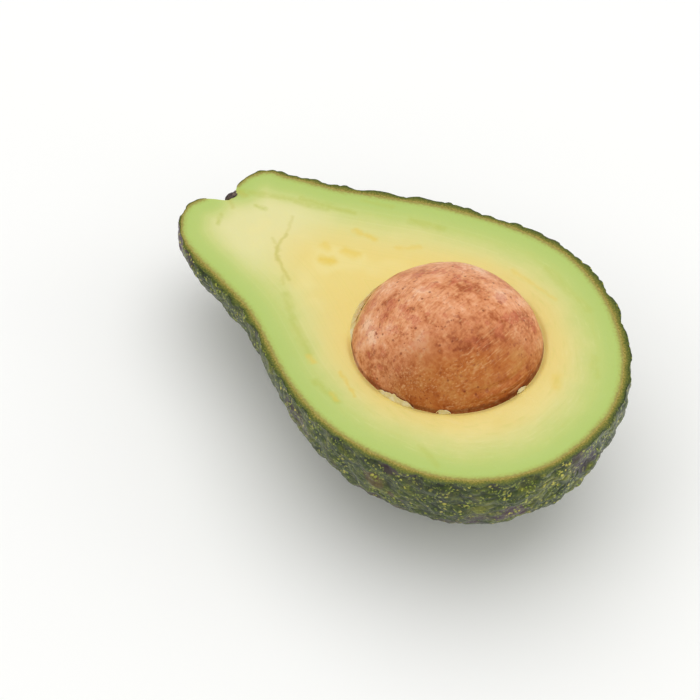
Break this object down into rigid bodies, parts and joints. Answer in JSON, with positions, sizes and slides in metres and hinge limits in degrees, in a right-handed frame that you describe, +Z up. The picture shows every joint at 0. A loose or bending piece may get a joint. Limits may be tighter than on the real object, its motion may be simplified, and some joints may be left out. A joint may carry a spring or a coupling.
{
  "type": "avocado half",
  "caption": "Avocado half lying on its back: cut face up, seed standing out of its hollow, pebbly dark green skin and a notch at the stem end.",
  "frame": {"origin": "centre of the bounding box's footprint, at the resting plane", "axes": "+X along the fruit from the stem end to the blossom end, +Y across the cut face, +Z up out of the cut face side"},
  "size_m": [0.1056, 0.0702, 0.0476],
  "materials": {
    "skin": "pebbly, softly shining",
    "flesh": "moist satin",
    "seed": "smooth satin",
    "stem": "dry and rough"
  },
  "bodies": {
    "root": {"skin": "skin", "flesh": "flesh", "seed": "seed", "stem_button": "stem"}
  },
  "joints": []
}
